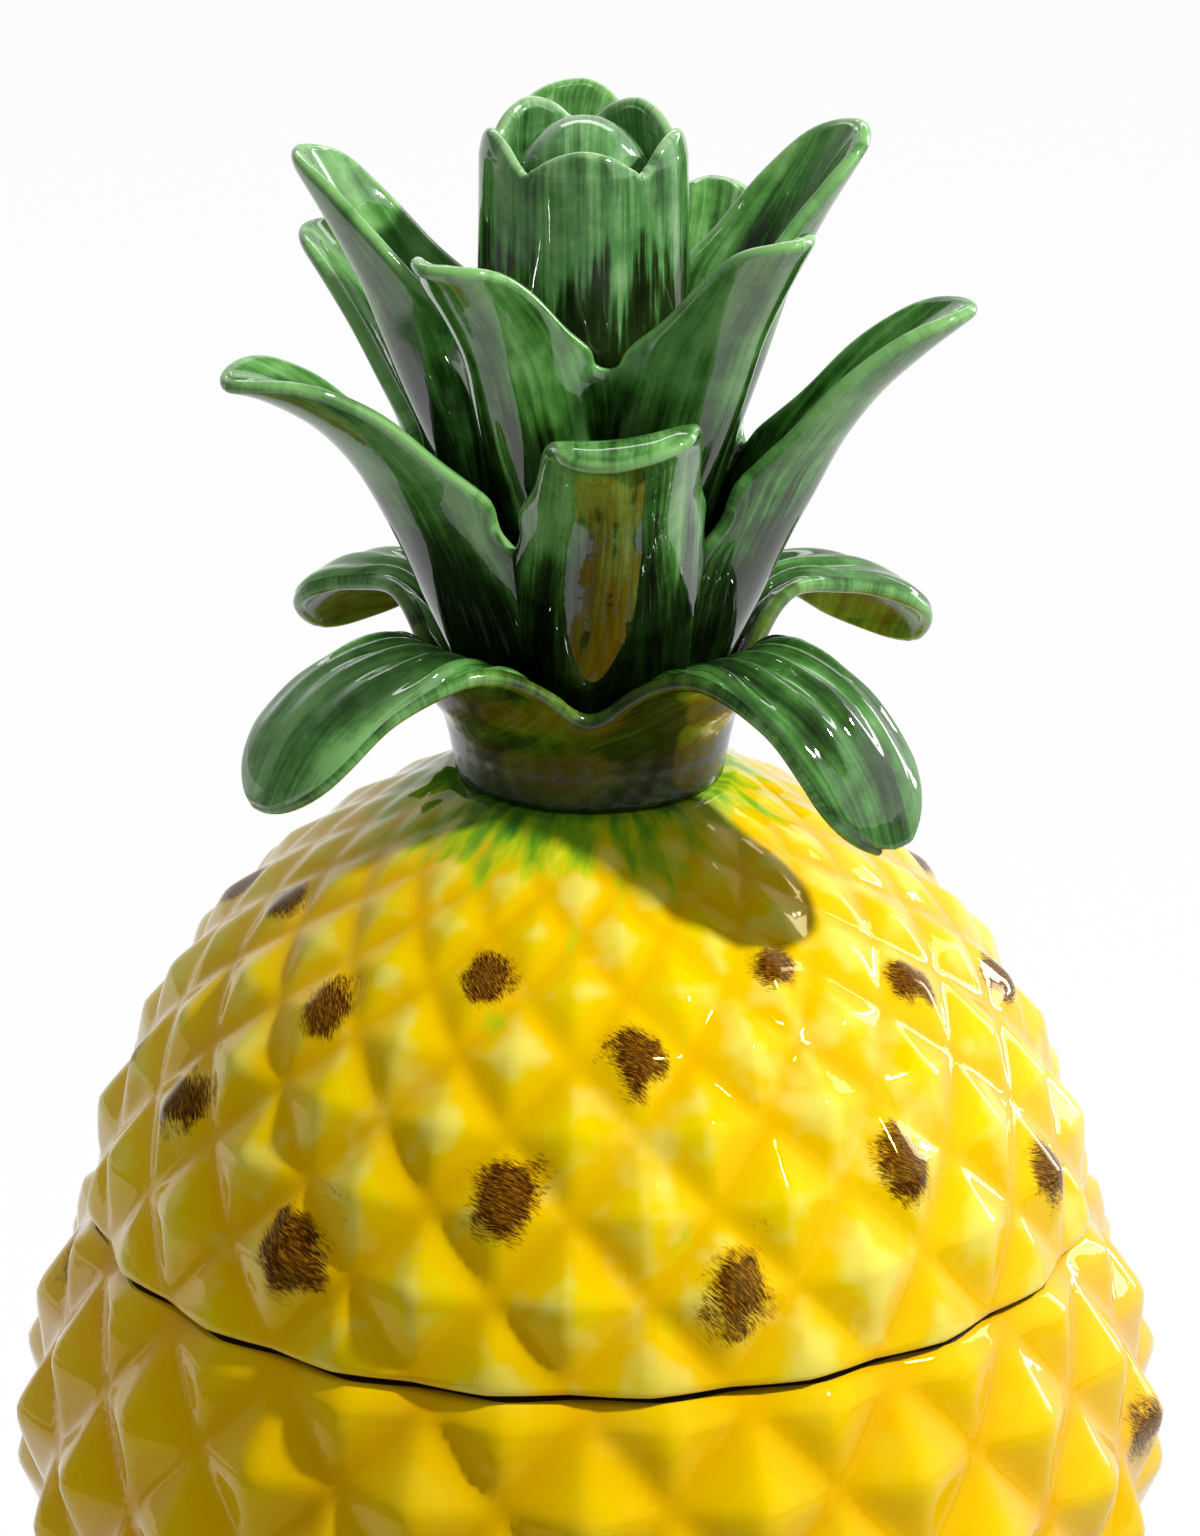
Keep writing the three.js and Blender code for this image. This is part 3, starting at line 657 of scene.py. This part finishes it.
def leaf_rows(stem, half, cup, free, reach, lift, tip_length, steps, rim):
    """Rows up a leaf as (radius, height, half width, fold, share of the fold that is across the leaf, how far
    round the tip), in mm, and the number of rows that belong to the cup. Cup rows are (height, how much wider
    than the stem at the joints between leaves, how much wider still at the middle of a leaf). Free rows are
    (radius beyond the stem, height, half width, how far the edges stand above the middle). The free rows are
    drawn in by the radius of the rim, which is put round them later."""
    roots = []
    for height, joint, middle in smooth_line(cup, steps):
        valley = stem + stem_flare(height) + joint
        half_width = valley * math.sin(math.radians(half))
        fold = valley + middle - valley * math.cos(math.radians(half))
        roots.append([valley + middle, height, half_width, fold, 0, 0])
    blade = []
    for i, (out, height, width, fold) in enumerate(free, 1):
        radius = roots[-1][0] + (stem + out - roots[-1][0]) * reach
        blade.append([radius, height + lift * (i / len(free)) ** 1.5, width, fold, min(1, i / 2)])
    fine = smooth_line([roots[-1 - steps][:5], roots[-1][:5], *blade], 16)[16:]
    far = [0]
    for a, b in zip(fine, fine[1:]):
        far.append(far[-1] + math.hypot(b[0] - a[0], b[1] - a[1]))
    end = far[-1] - rim
    count = steps * len(free)
    marks = [(end - tip_length) * i / count for i in range(1, count + 1)]
    marks += [end - tip_length * (1 - math.sin(math.radians(angle))) for angle in TIP_ANGLES]
    tip = []
    for mark in marks:
        i = min(next((i for i, f in enumerate(far) if f >= mark), len(far) - 1), len(far) - 1)
        t = (mark - far[i - 1]) / (far[i] - far[i - 1])
        row = [a + (b - a) * t for a, b in zip(fine[i - 1], fine[i])]
        over = max(0, mark - end + tip_length) / tip_length
        narrow = math.sqrt(1 - over * over)
        row[2] = (row[2] - rim * min(1, mark / 8)) * narrow
        row[3] *= narrow**1.5
        tip.append([*row, over])
    return roots + tip, len(roots)


def shape_tier(
    name, stem, half, cup, leaves, columns, steps, thickness, notch, flute=0, aside=0, outer_slot=0
):
    """One tier of leaves as a single wall of clay. Half is half the angle that a leaf takes up in the cup.
    Each leaf is (free rows, azimuth, reach, lift, lean, roll to one side, length of its round tip). The
    notches between them are rounded as far as the notch radius. Flute is the width of one flute, and aside is
    how far the tier was luted off the middle."""
    shape = bmesh.new()
    along_layer = shape.verts.layers.float.new("toward_tip")
    edge_layer = shape.verts.layers.float.new("toward_edge")
    over_layer = shape.verts.layers.float.new("over_the_tip")
    face_layer = shape.verts.layers.float_vector.new("face_of_the_leaf")
    notch_layer = shape.verts.layers.int.new("notch")
    strokes = shape.loops.layers.uv.new("across_and_along")
    arc = math.radians(half)
    for number, (free, azimuth, reach, lift, lean, roll, tip_length) in enumerate(leaves):
        rows, roots = leaf_rows(stem, half, cup, free, reach, lift, tip_length, steps, thickness * 400)
        blank = bmesh.ops.create_grid(shape, x_segments=columns, y_segments=len(rows) - 1, size=0.5)
        length = [0]
        for a, b in zip(rows, rows[1:]):
            length.append(length[-1] + math.hypot(b[0] - a[0], b[1] - a[1]))
        where = {}
        for vertex in blank["verts"]:
            across = 2 * vertex.co.x
            i = round((vertex.co.y + 0.5) * (len(rows) - 1))
            radius, height, width, fold, slant, over = rows[i]
            below, above = rows[max(i - 1, 0)], rows[min(i + 1, len(rows) - 1)]
            way = Vector((above[0] - below[0], above[1] - below[1])).normalized()
            rise_way = Vector((slant - 1 - slant * way.y, slant * way.x)).normalized()
            rise = fold * (1 - math.cos(arc * across)) / (1 - math.cos(arc))
            sidewards = width * math.sin(arc * across) / math.sin(arc)
            beyond = max(0, (i - roots + 1) / (len(rows) - roots))
            side = math.radians(azimuth + lean * beyond**1.5)
            out, up = radius + rise * rise_way.x, height + rise * rise_way.y + roll * sidewards * beyond
            vertex.co = (
                (out * math.sin(side) + sidewards * math.cos(side)) / 1000,
                (-out * math.cos(side) + sidewards * math.sin(side)) / 1000,
                up / 1000 + NECK,
            )
            vertex[along_layer] = length[i] / length[-1]
            vertex[edge_layer] = abs(across) * beyond**0.5
            vertex[over_layer] = over
            vertex[notch_layer] = i == roots - 1 and abs(across) > 0.99
            vertex[face_layer] = (rise_way.x * math.sin(side), -rise_way.x * math.cos(side), rise_way.y)
            where[vertex] = (across * width / 1000 + number * 0.3, length[i] / 1000)
        for vertex in blank["verts"]:
            for loop in vertex.link_loops:
                loop[strokes].uv = where[vertex]
    bmesh.ops.remove_doubles(shape, verts=shape.verts[:], dist=0.00005)
    bmesh.ops.recalc_face_normals(shape, faces=shape.faces[:])
    foot = min(shape.faces, key=lambda face: face.calc_center_median().z)
    if foot.normal.dot(foot.calc_center_median().xy.to_3d()) < 0:
        bmesh.ops.reverse_faces(shape, faces=shape.faces[:])
    corners = [vertex.co.copy() for vertex in shape.verts if vertex[notch_layer]]
    all_axes = {"use_axis_x": True, "use_axis_y": True, "use_axis_z": True}
    for rounding in (notch, notch * 0.8, notch * 0.6):
        near = [v for v in shape.verts if min((v.co - corner).length for corner in corners) < rounding]
        for _ in range(4):
            bmesh.ops.smooth_vert(shape, verts=near, factor=0.5, **all_axes)
    shape.normal_update()

    index_layer = shape.verts.layers.int.new("number")
    rim_layer = shape.verts.layers.float.new("rim")
    places, inwards, sideways = [], [], []
    for i, vertex in enumerate(shape.verts):
        vertex[index_layer] = i
        along, over = vertex[along_layer], vertex[over_layer]
        depth = thickness * (1 - 0.2 * along**3)
        if vertex.is_boundary:
            depth *= 0.82
        elif any(edge.other_vert(vertex).is_boundary for edge in vertex.link_edges):
            depth *= 0.96
        if flute and not vertex.is_boundary:
            fade = max(0, min(1, (along - 0.17) * 6)) * max(0, min(1, (0.86 - along) * 2.8))
            across = (vertex.link_loops[0][strokes].uv.x + 0.15) % 0.3 - 0.15
            depth += FLUTE_DEPTH * fade * math.cos(across * 2 * math.pi / flute)
        inward = (vertex[face_layer] * over - vertex.normal * (1 - over)).normalized()
        beside = Vector()
        if vertex.is_boundary:
            first, second = [edge.other_vert(vertex).co for edge in vertex.link_edges if edge.is_boundary]
            run = (first - vertex.co).normalized() - (second - vertex.co).normalized()
            beside = run.cross(inward).normalized()
            if beside.dot(vertex.co - vertex.link_faces[0].calc_center_median()) < 0:
                beside = -beside
        places.append(vertex.co.copy())
        inwards.append(inward * depth)
        sideways.append(beside * depth / 2)
    outer = shape.faces[:]
    for face in outer:
        face.material_index = outer_slot
    open_edges = [edge for edge in shape.edges if edge.is_boundary]
    edges = [edge for edge in open_edges if max(v.co.z for v in edge.verts) > NECK + FOOT_LEVEL]
    feet = [edge for edge in open_edges if edge not in edges]
    for turn in range(30, 181, 30):
        angle = math.radians(turn)
        made = bmesh.ops.extrude_edge_only(shape, edges=edges)["geom"]
        edges = [g for g in made if isinstance(g, bmesh.types.BMEdge) and g.is_boundary]
        for vertex in (g for g in made if isinstance(g, bmesh.types.BMVert)):
            i = vertex[index_layer]
            vertex.co = places[i] + sideways[i] * math.sin(angle) + inwards[i] * (1 - math.cos(angle)) / 2
            vertex[rim_layer] = math.sin(angle)
    made = bmesh.ops.extrude_edge_only(shape, edges=feet)["geom"]
    inner = bmesh.ops.duplicate(shape, geom=outer)["geom"]
    for part in [*made, *inner]:
        if isinstance(part, bmesh.types.BMVert):
            part.co = places[part[index_layer]] + inwards[part[index_layer]]
        if isinstance(part, bmesh.types.BMFace):
            part.material_index = 0
    bmesh.ops.remove_doubles(shape, verts=shape.verts[:], dist=0.00001)
    bmesh.ops.recalc_face_normals(shape, faces=shape.faces[:])
    for vertex in shape.verts:
        vertex.co.x += aside
    for face in shape.faces:
        face.smooth = True
    piece = into_scene(name, shape)
    finer = piece.modifiers.new("soft clay", "SUBSURF")
    finer.levels = finer.render_levels = 1
    return piece


lower = shape_tier(
    "collar_of_lower_leaves",
    COLLAR_RADIUS,
    45,
    LOWER_CUP,
    [
        (LOWER_FRONT, -45, 1.03, 1, -8, 0, 13),
        (LOWER_FRONT, 45, 0.98, -7, 5, 0, 13),
        (LOWER_BACK, -135, 0.94, 0, 3, 0.4, 12),
        (LOWER_BACK, 135, 1.14, -3, -8, -0.4, 12),
    ],
    columns=32,
    steps=4,
    thickness=LEAF_THICKNESS,
    notch=0.009,
    flute=0.0052,
    outer_slot=1,
)


LEAF_STOPS = [(0.20, "#0A1204"), (0.40, "#1A300E"), (0.56, "#30581E"), (0.72, "#4E883A"), (0.95, "#84BC6C")]
OLIVE_STOPS = [(0.20, "#1A2808"), (0.40, "#30460E"), (0.55, "#466016"), (0.70, "#5C8026"), (0.95, "#84AC4C")]


def leaf_glaze(name, stops, dark_until, ragged_over, gain, index, roughness=0.04, slant=0, painted_light_leftwards=0):
    """Copper green glaze laid on with a flat brush from root to tip: long streaks from nearly black to leaf
    green, paler where it ran thin on the rims and tips, under a deep clear shine. It is dark until a share of
    the leaf's length, and ragged over a share there, and painted darker still at the roots as the shade
    between the
    leaves. Leftwards is painted light: how much lighter it gets per metre towards the left. Slanted
    strokes belong to the collar, and give way to leaf green where its leaves come free."""
    material, tree = new_material(name)
    path = add(tree, "UVMap", uv_map="across_and_along").outputs[0]
    path = add(tree, "Mapping", {"Vector": path, "Rotation": (0, 0, math.radians(slant))}).outputs[0]
    place = add(tree, "TexCoord").outputs["Object"]
    tip = add(tree, "Attribute", attribute_name="toward_tip").outputs["Fac"]
    edge = add(tree, "Attribute", attribute_name="toward_edge").outputs["Fac"]
    rim = add(tree, "Attribute", attribute_name="rim").outputs["Fac"]
    fine = add(tree, "Mapping", {"Vector": path, "Scale": (1 / 0.0008, 1 / 0.030, 1)}).outputs[0]
    broad = add(tree, "Mapping", {"Vector": path, "Scale": (1 / 0.005, 1 / 0.045, 1)}).outputs[0]
    bristle = add(tree, "TexNoise", {"Vector": fine, "Scale": 1.0, "Detail": 4.0, "Roughness": 0.6})
    bristle = bristle.outputs[0]
    stroke = add(tree, "TexNoise", {"Vector": broad, "Scale": 1.0, "Detail": 3.0}).outputs[0]
    ragged = add(tree, "Math", {0: bristle, 1: 0.25, 2: tip}, operation="MULTIPLY_ADD").outputs[0]
    ragged = add(tree, "Math", {0: stroke, 1: 0.5, 2: ragged}, operation="MULTIPLY_ADD").outputs[0]
    washed = add(
        tree,
        "MapRange",
        {
            "Value": ragged,
            "From Min": dark_until + 0.375 - ragged_over,
            "From Max": dark_until + 0.375 + ragged_over,
            "To Max": gain,
        },
        interpolation_type="SMOOTHSTEP",
    ).outputs[0]
    tone = add(tree, "Math", {0: stroke, 1: 1.0, 2: washed}, operation="MULTIPLY_ADD").outputs[0]
    tone = add(tree, "Math", {0: bristle, 1: 0.48, 2: tone}, operation="MULTIPLY_ADD").outputs[0]
    cloud = add(tree, "TexNoise", {"Vector": place, "Scale": 1 / 0.007, "Detail": 4.0, "Roughness": 0.6})
    tone = add(tree, "Math", {0: cloud.outputs[0], 1: 0.52, 2: tone}, operation="MULTIPLY_ADD").outputs[0]
    tone = add(tree, "Math", {0: edge, 1: 0.08, 2: tone}, operation="MULTIPLY_ADD").outputs[0]
    # Painted shade: the tone is pulled down further near the roots, where the leaves shade each other.
    root_painted_shade = add(
        tree,
        "MapRange",
        {"Value": tip, "From Min": 0.25, "From Max": 0.6, "To Min": -0.73, "To Max": -0.575},
    )
    tone = add(tree, "Math", {0: root_painted_shade.outputs[0], 1: tone}, operation="ADD").outputs[0]
    tone = add(tree, "Math", {0: rim, 1: 0.18, 2: tone}, operation="MULTIPLY_ADD").outputs[0]
    # Painted light: the colour gets lighter towards the left, by the given amount per metre.
    aside = add(tree, "SeparateXYZ", {0: place}).outputs["X"]
    tone = add(tree, "Math", {0: aside, 1: -painted_light_leftwards, 2: tone}, operation="MULTIPLY_ADD").outputs[0]
    color = add(tree, "ValToRGB", {"Fac": tone}, stops=stops).outputs[0]
    if slant:
        free = add(tree, "MapRange", {"Value": tip, "From Min": 0.35, "From Max": 0.5}).outputs[0]
        green = add(tree, "ValToRGB", {"Fac": tone}, stops=LEAF_STOPS).outputs[0]
        color = add(tree, "Mix", {0: free, 6: color, 7: green}, data_type="RGBA").outputs[2]
    skin = add(tree, "TexNoise", {"Vector": place, "Scale": 1 / 0.005, "Detail": 2.0})
    bump = add(tree, "Bump", {"Height": skin.outputs[0], "Strength": 0.3, "Distance": 0.0002})
    surface = add(
        tree,
        "BsdfPrincipled",
        {"Base Color": color, "Roughness": roughness, "IOR": index, "Normal": bump.outputs[0]},
    )
    add(tree, "OutputMaterial", {"Surface": surface.outputs[0]})
    return material


# The lower leaves carry painted light, lighter towards the left.
lower_glaze = leaf_glaze(
    "copper green majolica glaze brushed over flutes", LEAF_STOPS, 0.36, 0.12, 0.28, 1.65, painted_light_leftwards=1.9
)
olive_glaze = leaf_glaze(
    "olive majolica glaze brushed across the underside",
    OLIVE_STOPS,
    0.3,
    0.3,
    0.16,
    1.5,
    roughness=0.13,
    slant=50,
)
lower.data.materials.append(lower_glaze)
lower.data.materials.append(olive_glaze)
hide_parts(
    "lower_leaf_front_left",
    "lower_leaf_front_right",
    "lower_leaf_back_left",
    "lower_leaf_back_right",
)
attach(lower, "lid")

# Five broader leaves stand inside the collar and arch outwards, one of them curled over at the front. They
# were luted into a cup up to the notches, where the glaze has gathered.
MIDDLE_CUP = [(0.3, 0, 0), (9, 0, 0), (19, 0, 0), (28, 1.2, 2), (39, 3.1, 5), (50, 5.4, 7.5), (60, 6.9, 10.5)]
MIDDLE_FREE = [(27, 71, 17.5, 9), (34.5, 80.5, 16, 6.5), (43, 87.5, 13.5, 5), (49.5, 91.5, 11, 3)]
MIDDLE_FREE += [(53.5, 93, 9.5, 1.5)]
MIDDLE_FRONT = [(27, 71, 17.5, 9), (34, 81, 16.5, 5), (40, 86.3, 15, 2), (45, 87.8, 13.8, 0.6)]
MIDDLE_FRONT += [(48.5, 87.2, 13, 0), (50.2, 85.8, 12.6, 0)]
JOINT_LINE = 0.3
CUP_STEP = LEAF_THICKNESS * 1000 + JOINT_LINE
middle = shape_tier(
    "middle_leaves",
    COLLAR_RADIUS - CUP_STEP,
    36,
    MIDDLE_CUP,
    [
        (MIDDLE_FRONT, 8, 1, 0, -3, 0.16, 4.5),
        (MIDDLE_FREE, -62, 1.1, -2, 0, 0, 11),
        (MIDDLE_FREE, -134, 1.08, 3, 0, 0, 11),
        (MIDDLE_FREE, 82, 1, 6, 0, 0, 11),
        (MIDDLE_FREE, 154, 1, 8, 6, 0, 11),
    ],
    columns=14,
    steps=3,
    thickness=LEAF_THICKNESS,
    notch=0.005,
)
middle_glaze = leaf_glaze(
    "copper green majolica glaze, black at the root", LEAF_STOPS, 0.56, 0.13, 0.28, 1.62
)
middle.data.materials.append(middle_glaze)
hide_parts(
    "middle_leaf_front",
    "middle_leaf_left",
    "middle_leaf_back_left",
    "middle_leaf_right",
    "middle_leaf_back_right",
)
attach(middle, "lid")

# Five upper leaves stand inside those, over their notches, and reach almost to the top of the bud. They are
# slabs of the same clay, luted into a third cup, and their colour is dark up to half their height.
UPPER_CUP = [(0.3, 0, 0), (9, 0, 0), (19, 0, 0), (28, 0, 0), (40, 0, 0.8), (52, 0, 4)]
UPPER_CUP += [(67, 0, 9), (78, 0, 13), (90, 0, 16.5)]
UPPER_FREE = [(27.2, 100, 14, 12), (32.2, 109, 13, 7.5), (36.7, 116, 11.5, 5), (39.7, 120, 10, 3)]
UPPER_FREE += [(41.2, 122.5, 8.5, 1.5)]
UPPER_BROAD = [(27.2, 100, 14, 12), (32.2, 109, 13.5, 7.5), (36.7, 116, 12.5, 4.5), (39.7, 120, 11.5, 2.5)]
UPPER_BROAD += [(41.2, 122.5, 10, 1.2)]
upper = shape_tier(
    "upper_leaves",
    COLLAR_RADIUS - 2 * CUP_STEP,
    36,
    UPPER_CUP,
    [
        (UPPER_FREE, -27, 0.93, -4, -6, 0, 9),
        (UPPER_FREE, 45, 1, 0, -2, 0, 9),
        (UPPER_FREE, -99, 1.03, 2.5, -4, 0, 9),
        (UPPER_BROAD, 117, 1, 5, -4, 0, 10),
        (UPPER_BROAD, 189, 1, 3.5, -7, 0, 10),
    ],
    columns=14,
    steps=3,
    thickness=LEAF_THICKNESS,
    notch=0.005,
)
upper_glaze = leaf_glaze("copper green majolica glaze, dark to half way", LEAF_STOPS, 0.64, 0.13, 0.30, 1.75)
upper.data.materials.append(upper_glaze)
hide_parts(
    "upper_leaf_front_left",
    "upper_leaf_front_right",
    "upper_leaf_left",
    "upper_leaf_right",
    "upper_leaf_back",
)
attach(upper, "lid")

# The bud is a cup of five rounded petals that stay upright, cut from a thinner slab and luted inside the
# leaves. It was brushed with a lighter green, which is palest at the top.
PETAL_THICKNESS = 0.0038
BUD_ASIDE = -0.0012  # luted a little off the middle
BUD_CUP = [(0.3, 0, 0), (9, 0, 0), (19, 0, 0), (28, 0, 0), (52, 0, 0), (76, 0, 0), (90, 0, 0.3)]
BUD_CUP += [(108, -0.2, 0.6), (119, -0.4, 0.8), (127.5, -0.2, 0.6)]
BUD_FREE = [(6.2, 129.8, 8.6, 2.2), (5.8, 132, 6.9, 1.3), (5.3, 134, 5.0, 0.6)]
bud = shape_tier(
    "bud_petals",
    COLLAR_RADIUS - 3 * CUP_STEP,
    36,
    BUD_CUP,
    [
        (BUD_FREE, 0, 1, 0, 0, 0, 3),
        (BUD_FREE, -72, 1, 0.8, 0, 0, 3),
        (BUD_FREE, -144, 1.1, 1.4, 0, 0, 3),
        (BUD_FREE, 72, 1, 0.8, 0, 0, 3),
        (BUD_FREE, 144, 1.1, 1.2, 0, 0, 3),
    ],
    columns=12,
    steps=3,
    thickness=PETAL_THICKNESS,
    notch=0.0025,
    aside=BUD_ASIDE,
)
BUD_STOPS = [(0.25, "#10160A"), (0.48, "#263612"), (0.62, "#3A6430"), (0.80, "#5E9652"), (1.0, "#96BE82")]
bud_glaze = leaf_glaze("brushed light green majolica glaze", BUD_STOPS, 0.80, 0.05, 0.34, 1.75)
bud.data.materials.append(bud_glaze)
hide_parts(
    "bud_petal_front", "bud_petal_left", "bud_petal_back_left", "bud_petal_right", "bud_petal_back_right"
)
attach(bud, "lid")

# The heart of the bud fills the petals and rounds over at the top. It was smoothed with a thumb and glazed
# with the petals.
CORE_STEM = COLLAR_RADIUS - 3 * CUP_STEP - PETAL_THICKNESS * 1000 - 2 * JOINT_LINE
CORE_DRAWN_IN = 106  # height from which it gets narrower
CORE_SHOULDER = 119
CORE_HEIGHT = 135
shape = bmesh.new()
levels = (JOINT_LINE, 9, 19, 28, 40, 52, 64, 76, 90, 100, CORE_DRAWN_IN)
side = [(CORE_STEM + stem_flare(z), z) for z in levels]
side += [(CORE_STEM + stem_flare(z) - (z - CORE_DRAWN_IN) * 0.17, z) for z in (110, 114, CORE_SHOULDER)]
dome = []
for angle in range(9, 90, 9):
    way_out, way_up = math.cos(math.radians(angle)), math.sin(math.radians(angle))
    dome.append((side[-1][0] * way_out, CORE_SHOULDER + (CORE_HEIGHT - CORE_SHOULDER) * way_up))
points = [(0, JOINT_LINE), *side, *dome, (0, CORE_HEIGHT)]
verts = [shape.verts.new((BUD_ASIDE, -r / 1000, NECK + z / 1000)) for r, z in points]
for a, b in zip(verts, verts[1:]):
    shape.edges.new((a, b))
bmesh.ops.spin(
    shape,
    geom=shape.verts[:] + shape.edges[:],
    cent=(BUD_ASIDE, 0, 0),
    axis=(0, 0, 1),
    angle=2 * math.pi,
    steps=48,
    use_merge=True,
)
bmesh.ops.remove_doubles(shape, verts=shape.verts[:], dist=1e-6)
bmesh.ops.recalc_face_normals(shape, faces=shape.faces[:])
strokes = shape.loops.layers.uv.new("across_and_along")
along_layer = shape.verts.layers.float.new("toward_tip")
for vertex in shape.verts:
    vertex[along_layer] = (vertex.co.z - NECK) * 1000 / CORE_HEIGHT
for face in shape.faces:
    face.smooth = True
    for loop in face.loops:
        loop[strokes].uv = (loop.vert.co.x + 2, loop.vert.co.y)
heart = into_scene("bud_heart", shape, bud_glaze)
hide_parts("bud_core")
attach(heart, "lid")
